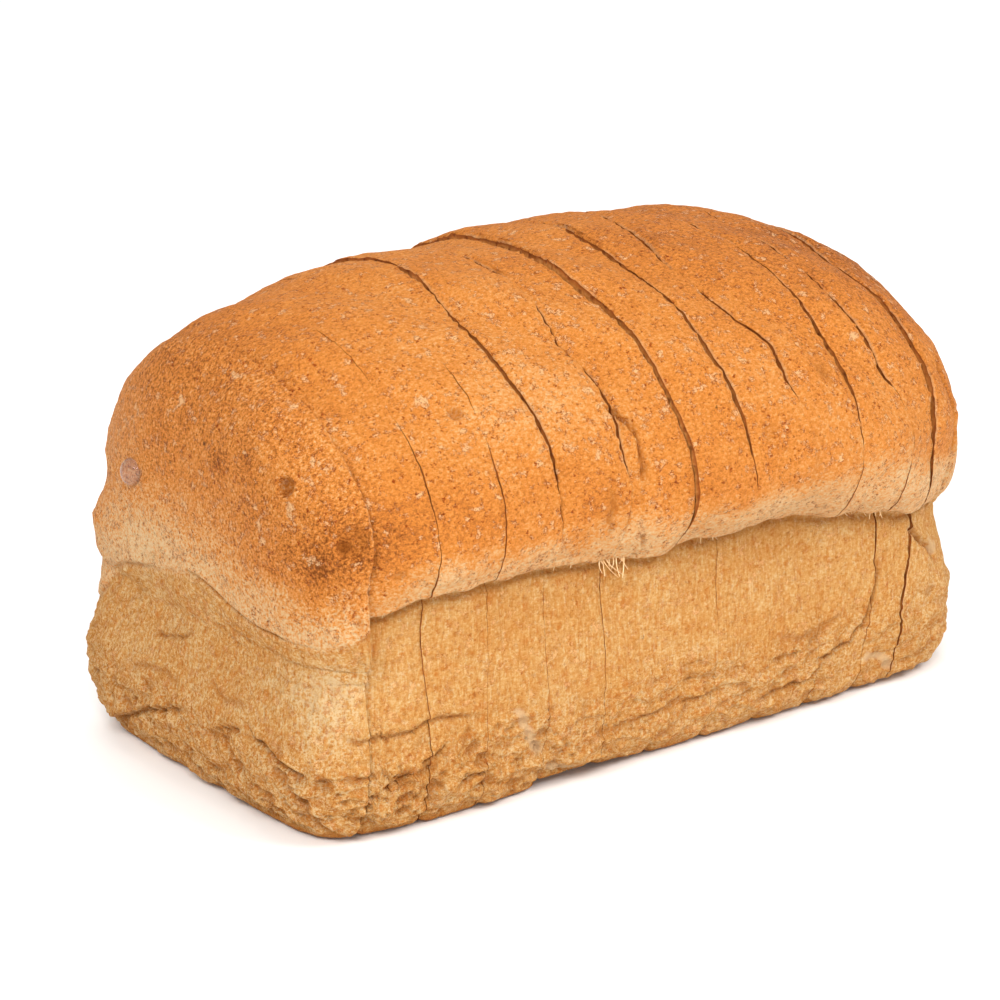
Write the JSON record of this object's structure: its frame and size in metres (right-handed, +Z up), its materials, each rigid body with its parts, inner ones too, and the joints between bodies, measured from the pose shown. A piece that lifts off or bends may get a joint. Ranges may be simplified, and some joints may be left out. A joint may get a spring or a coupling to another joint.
{
  "type": "sliced bread loaf",
  "caption": "Small wholemeal tin loaf with a domed golden crown over straight tin walls, cut crosswise into slices that still stand together.",
  "frame": {"origin": "middle of the underside's bounding box, on the surface the loaf stands on", "axes": "+X along the loaf from the near heel to the far heel, -Y the long side seen in the picture, +Z up"},
  "size_m": [0.1802, 0.123, 0.1027],
  "materials": {
    "slice_crust": "baked wheat crust, golden to orange brown on the crown, paler tan on the tin walls, dull with a faint satin",
    "heel_crust": "baked wheat crust of the two end pieces, browner low on the crown, dull",
    "crumb": "soft open wholemeal crumb on the cut faces, matt",
    "water_drop": "one clear glossy drop on the near heel"
  },
  "bodies": {
    "root": {"heel_near": "heel_crust", "slice_01": "slice_crust", "slice_02": "slice_crust", "slice_03": "slice_crust", "slice_04": "slice_crust", "slice_05": "slice_crust", "slice_06": "slice_crust", "slice_07": "slice_crust", "slice_08": "slice_crust", "slice_09": "slice_crust", "slice_10": "slice_crust", "heel_far": "heel_crust"}
  },
  "joints": []
}
